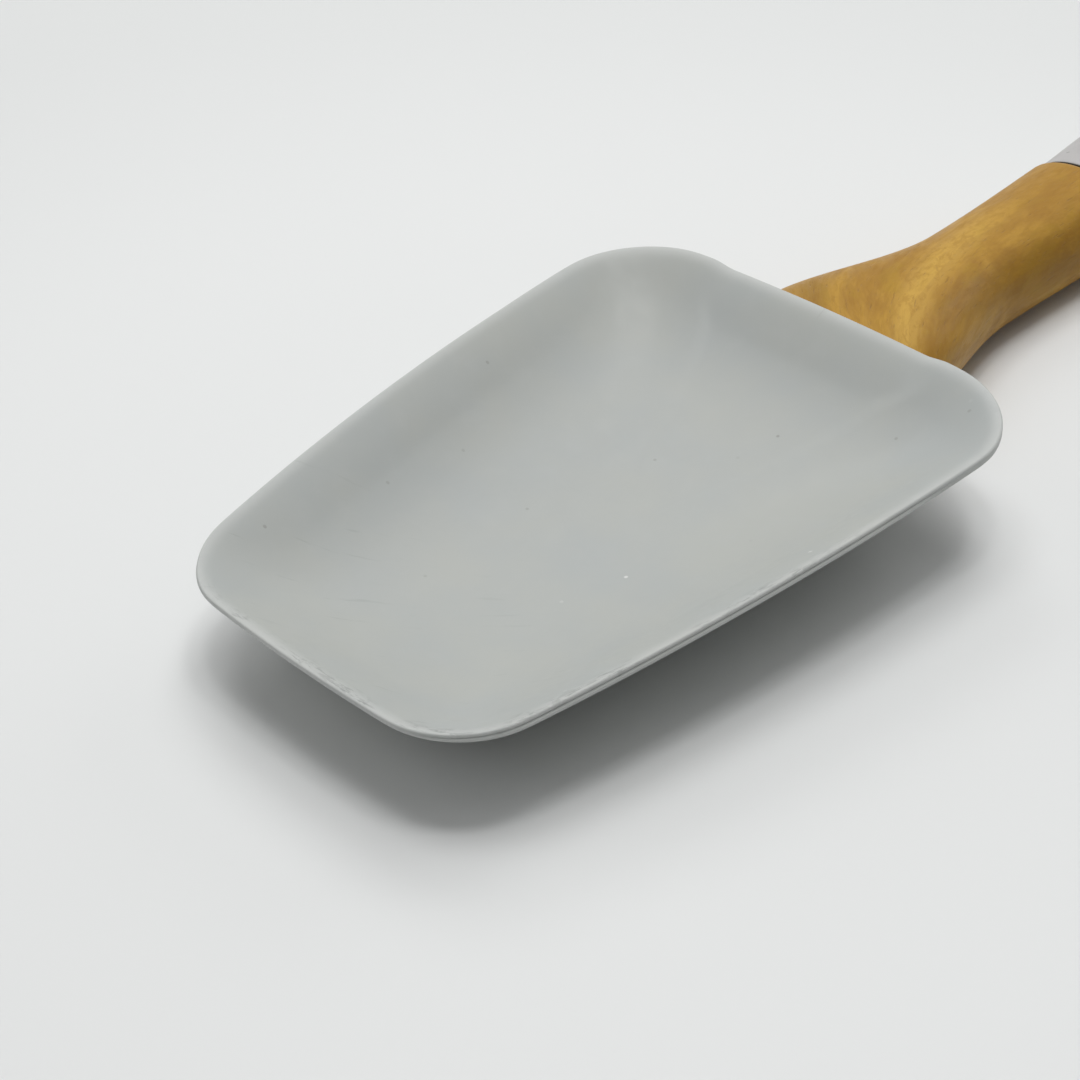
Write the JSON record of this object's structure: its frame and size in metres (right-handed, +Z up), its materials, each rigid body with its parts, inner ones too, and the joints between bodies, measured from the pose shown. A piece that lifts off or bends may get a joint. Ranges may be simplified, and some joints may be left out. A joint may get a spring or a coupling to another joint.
{
  "type": "cooking spoon",
  "caption": "Silicone scoop spoon with a shallow dished head, a wooden neck and a soft rear grip that has a hang hole.",
  "frame": {"origin": "middle of the spoon's length and width, on the surface it lies on", "axes": "+X along the spoon from the tip of the scoop to the end of the grip, +Y across it, +Z up out of the open side of the scoop"},
  "size_m": [0.2852, 0.0696, 0.0168],
  "materials": {
    "grey_silicone": "smooth matte silicone with a soft sheen",
    "core_nylon": "glass filled nylon, as moulded",
    "stainless_steel": "drawn stainless steel",
    "neck_wood": "sanded, oiled hardwood",
    "gasket_rubber": "matte dark rubber",
    "grip_silicone": "matte soft-touch silicone"
  },
  "bodies": {
    "root": {"blade_skin": "grey_silicone", "blade_core": "core_nylon", "tang_rod": "stainless_steel", "wood_neck": "neck_wood", "seam_gasket": "gasket_rubber", "grip_core": "core_nylon", "grip_sleeve": "grip_silicone", "rod_pin": "stainless_steel"}
  },
  "joints": []
}
